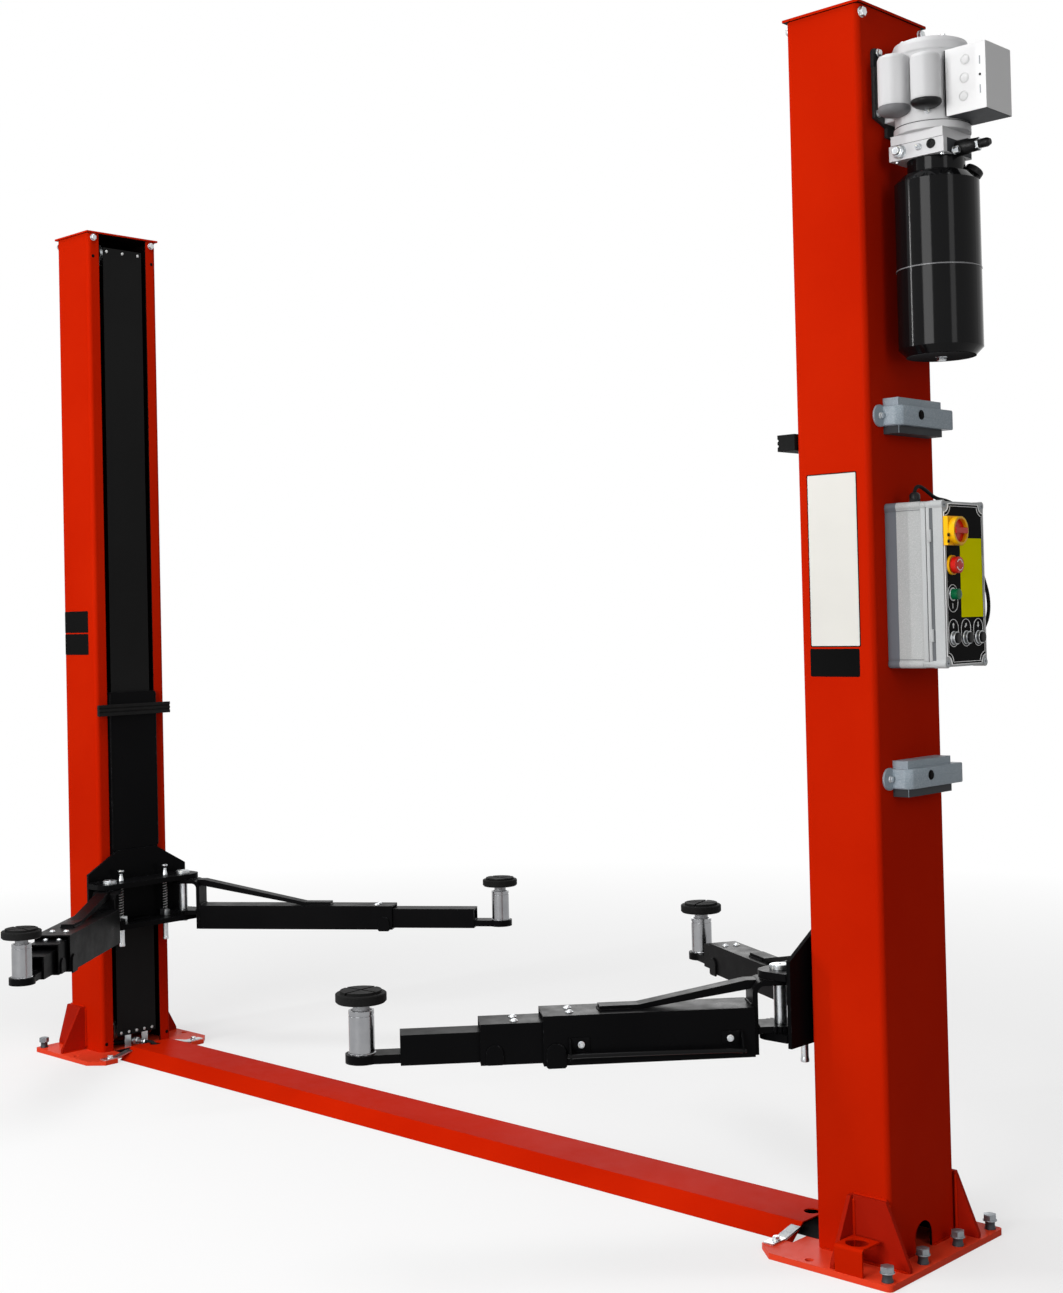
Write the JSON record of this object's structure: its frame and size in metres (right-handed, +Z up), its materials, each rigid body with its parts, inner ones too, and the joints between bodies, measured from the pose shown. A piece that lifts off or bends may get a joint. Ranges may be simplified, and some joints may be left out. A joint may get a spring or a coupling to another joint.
{
  "type": "hydraulic two-post vehicle lift",
  "caption": "Floor-mounted vehicle lift with upright channel columns, sliding carriages, telescopic swing arms with round pads, a power unit and a control box.",
  "frame": {"origin": "on the floor midway between the columns, at the centre of the four open anchor holes", "axes": "+X across the lift towards the column with the power unit, +Y towards the shorter-armed rear side, +Z up"},
  "size_m": [3.633, 1.7722, 2.818],
  "materials": {
    "red_paint": "gloss powder coat",
    "black_paint": "satin",
    "zinc": "zinc plated",
    "steel": "machined",
    "black_plastic": "matte",
    "rubber": "matte",
    "cast_grey": "cast, satin",
    "white_paint": "satin",
    "box_grey": "satin",
    "yellow_plastic": "gloss",
    "red_plastic": "gloss",
    "green_plastic": "gloss"
  },
  "bodies": {
    "frame": {"adapter_holder": "red_paint", "anchor_bolts_left": "zinc", "anchor_bolts_right": "zinc", "base_plate_left": "red_paint", "base_plate_right": "red_paint", "bumper_right": "rubber", "column_left": "red_paint", "column_right": "red_paint", "control_box": "box_grey", "cover_band_left": "black_plastic", "cover_band_right": "black_plastic", "cover_clips": "zinc", "floor_cover": "red_paint", "gussets_left": "red_paint", "gussets_right": "red_paint", "lock_covers": "cast_grey", "motor": "cast_grey", "oil_tank": "black_paint", "pump_block": "cast_grey", "release_lever": "black_plastic", "terminal_box": "white_paint"},
    "carriage_right": {"carriage_right": "black_paint", "hinge_pins_right": "zinc"},
    "carriage_left": {"carriage_left": "black_paint", "hinge_pins_left": "zinc", "bumper_left": "rubber"},
    "arm_right_front": {"arm_outer_right_front": "black_paint"},
    "stage_right_front": {"arm_middle_right_front": "black_paint"},
    "tip_right_front": {"arm_inner_right_front": "black_paint", "adapter_right_front": "zinc"},
    "pad_right_front": {"pad_right_front": "rubber"},
    "arm_left_front": {"arm_outer_left_front": "black_paint"},
    "stage_left_front": {"arm_middle_left_front": "black_paint"},
    "tip_left_front": {"arm_inner_left_front": "black_paint", "adapter_left_front": "zinc"},
    "pad_left_front": {"pad_left_front": "rubber"},
    "arm_right_rear": {"arm_outer_right_rear": "black_paint"},
    "tip_right_rear": {"arm_inner_right_rear": "black_paint", "adapter_right_rear": "zinc"},
    "pad_right_rear": {"pad_right_rear": "rubber"},
    "arm_left_rear": {"arm_outer_left_rear": "black_paint"},
    "tip_left_rear": {"arm_inner_left_rear": "black_paint", "adapter_left_rear": "zinc"},
    "pad_left_rear": {"pad_left_rear": "rubber"},
    "lock_rod_right_front": {"lock_rod_right_front": "zinc"},
    "lock_rod_right_back": {"lock_rod_right_back": "zinc"},
    "lock_rod_left_front": {"lock_rod_left_front": "zinc"},
    "lock_rod_left_back": {"lock_rod_left_back": "zinc"},
    "pulley_low_right": {"pulley_low_right": "steel"},
    "pulley_high_right": {"pulley_high_right": "steel"},
    "pulley_low_left": {"pulley_low_left": "steel"},
    "pulley_high_left": {"pulley_high_left": "steel"},
    "control_door": {"control_door": "box_grey", "switch_guard": "yellow_plastic"},
    "main_switch": {"main_switch": "red_plastic"},
    "stop_button": {"stop_button": "red_plastic"},
    "start_button": {"start_button": "green_plastic"},
    "up_button": {"up_button": "black_plastic"},
    "hold_button": {"hold_button": "black_plastic"},
    "down_button": {"down_button": "black_plastic"}
  },
  "joints": [
    {"name": "lift_right", "type": "slide", "parent": "frame", "child": "carriage_right", "axis": [0, 0, 1], "range_m": [-0.335, 1.08]},
    {"name": "lift_left", "type": "slide", "parent": "frame", "child": "carriage_left", "axis": [0, 0, 1], "range_m": [-0.335, 1.08]},
    {"name": "swing_right_front", "type": "hinge", "parent": "carriage_right", "child": "arm_right_front", "pos_m": [1.378, -0.148, 0.45], "axis": [0, 0, 1], "range_deg": [-44, 33]},
    {"name": "extend_right_front_middle", "type": "slide", "parent": "arm_right_front", "child": "stage_right_front", "axis": [-0.6587, -0.7524, 0], "range_m": [-0.121, 0.084]},
    {"name": "extend_right_front", "type": "slide", "parent": "stage_right_front", "child": "tip_right_front", "axis": [-0.6587, -0.7524, 0], "range_m": [-0.159, 0.121]},
    {"name": "pad_lift_right_front", "type": "slide", "parent": "tip_right_front", "child": "pad_right_front", "axis": [0, 0, 1], "range_m": [0, 0.05]},
    {"name": "swing_left_front", "type": "hinge", "parent": "carriage_left", "child": "arm_left_front", "pos_m": [-1.378, -0.148, 0.409], "axis": [0, 0, 1], "range_deg": [-31, 46]},
    {"name": "extend_left_front_middle", "type": "slide", "parent": "arm_left_front", "child": "stage_left_front", "axis": [0.6266, -0.7793, 0], "range_m": [-0.055, 0.15]},
    {"name": "extend_left_front", "type": "slide", "parent": "stage_left_front", "child": "tip_left_front", "axis": [0.6266, -0.7793, 0], "range_m": [-0.072, 0.208]},
    {"name": "pad_lift_left_front", "type": "slide", "parent": "tip_left_front", "child": "pad_left_front", "axis": [0, 0, 1], "range_m": [0, 0.05]},
    {"name": "swing_right_rear", "type": "hinge", "parent": "carriage_right", "child": "arm_right_rear", "pos_m": [1.378, 0.148, 0.45], "axis": [0, 0, 1], "range_deg": [-54, 25]},
    {"name": "extend_right_rear", "type": "slide", "parent": "arm_right_rear", "child": "tip_right_rear", "axis": [-0.8854, 0.4648, 0], "range_m": [-0.035, 0.345]},
    {"name": "pad_lift_right_rear", "type": "slide", "parent": "tip_right_rear", "child": "pad_right_rear", "axis": [0, 0, 1], "range_m": [0, 0.05]},
    {"name": "swing_left_rear", "type": "hinge", "parent": "carriage_left", "child": "arm_left_rear", "pos_m": [-1.378, 0.148, 0.409], "axis": [0, 0, 1], "range_deg": [-32, 47]},
    {"name": "extend_left_rear", "type": "slide", "parent": "arm_left_rear", "child": "tip_left_rear", "axis": [0.8231, 0.5678, 0], "range_m": [-0.262, 0.118]},
    {"name": "pad_lift_left_rear", "type": "slide", "parent": "tip_left_rear", "child": "pad_left_rear", "axis": [0, 0, 1], "range_m": [0, 0.05]},
    {"name": "lock_right_front", "type": "slide", "parent": "carriage_right", "child": "lock_rod_right_front", "axis": [0, 0, 1], "range_m": [0, 0.03], "stiffness_N_per_m": 400, "springref_m": -0.02},
    {"name": "lock_right_back", "type": "slide", "parent": "carriage_right", "child": "lock_rod_right_back", "axis": [0, 0, 1], "range_m": [0, 0.03], "stiffness_N_per_m": 400, "springref_m": -0.02},
    {"name": "lock_left_front", "type": "slide", "parent": "carriage_left", "child": "lock_rod_left_front", "axis": [0, 0, 1], "range_m": [0, 0.03], "stiffness_N_per_m": 400, "springref_m": -0.02},
    {"name": "lock_left_back", "type": "slide", "parent": "carriage_left", "child": "lock_rod_left_back", "axis": [0, 0, 1], "range_m": [0, 0.03], "stiffness_N_per_m": 400, "springref_m": -0.02},
    {"name": "turn_pulley_low_right", "type": "hinge", "parent": "frame", "child": "pulley_low_right", "pos_m": [1.5525, -0.0945, 0.068], "axis": [0, 1, 0], "continuous": true},
    {"name": "turn_pulley_high_right", "type": "hinge", "parent": "frame", "child": "pulley_high_right", "pos_m": [1.5525, -0.0945, 2.736], "axis": [0, 1, 0], "continuous": true},
    {"name": "turn_pulley_low_left", "type": "hinge", "parent": "frame", "child": "pulley_low_left", "pos_m": [-1.5525, 0.0945, 0.068], "axis": [0, 1, 0], "continuous": true},
    {"name": "turn_pulley_high_left", "type": "hinge", "parent": "frame", "child": "pulley_high_left", "pos_m": [-1.5525, 0.0945, 2.736], "axis": [0, 1, 0], "continuous": true},
    {"name": "door_hinge", "type": "hinge", "parent": "frame", "child": "control_door", "pos_m": [1.755, -0.083, 1.327], "axis": [0, 0, -1], "range_deg": [0, 110]},
    {"name": "switch_turn", "type": "hinge", "parent": "control_door", "child": "main_switch", "pos_m": [1.796, -0.047, 1.627], "axis": [1, 0, 0], "range_deg": [0, 90]},
    {"name": "stop_press", "type": "slide", "parent": "control_door", "child": "stop_button", "axis": [-1, 0, 0], "range_m": [0, 0.005]},
    {"name": "start_press", "type": "slide", "parent": "control_door", "child": "start_button", "axis": [-1, 0, 0], "range_m": [0, 0.004], "stiffness_N_per_m": 800},
    {"name": "up_press", "type": "slide", "parent": "control_door", "child": "up_button", "axis": [-1, 0, 0], "range_m": [0, 0.004], "stiffness_N_per_m": 800},
    {"name": "hold_press", "type": "slide", "parent": "control_door", "child": "hold_button", "axis": [-1, 0, 0], "range_m": [0, 0.004], "stiffness_N_per_m": 800},
    {"name": "down_press", "type": "slide", "parent": "control_door", "child": "down_button", "axis": [-1, 0, 0], "range_m": [0, 0.004], "stiffness_N_per_m": 800}
  ],
  "couplings": [
    {"joint": "lift_right", "follows": "lift_left", "ratio": 1}
  ]
}
